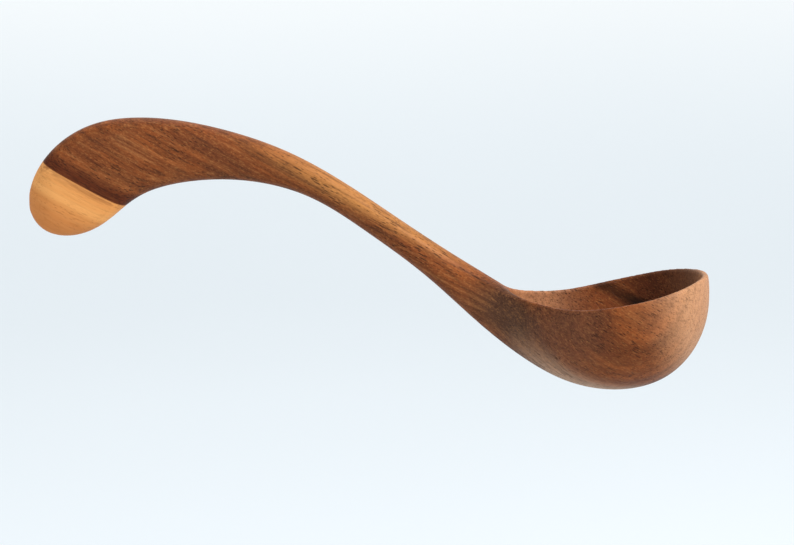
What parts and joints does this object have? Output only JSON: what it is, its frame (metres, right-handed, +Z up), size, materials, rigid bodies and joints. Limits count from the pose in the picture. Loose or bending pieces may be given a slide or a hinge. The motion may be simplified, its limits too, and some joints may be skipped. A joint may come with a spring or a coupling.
{
  "type": "soup ladle",
  "caption": "Carved wooden soup ladle with a deep thin-walled egg-shaped bowl and a long swooping handle that broadens into a rounded grip.",
  "frame": {"origin": "middle of the grip, in the middle of the handle's thickness", "axes": "+X from the grip towards the bowl, +Z up out of the level bowl, +Y across the handle; the ladle is symmetric about Y = 0"},
  "size_m": [0.339, 0.086, 0.1357],
  "materials": {
    "heartwood": "oiled satin black walnut heartwood",
    "sapwood": "oiled satin walnut sapwood"
  },
  "bodies": {
    "root": {"bowl": "heartwood", "handle": "heartwood", "sapwood_edge": "sapwood"}
  },
  "joints": []
}
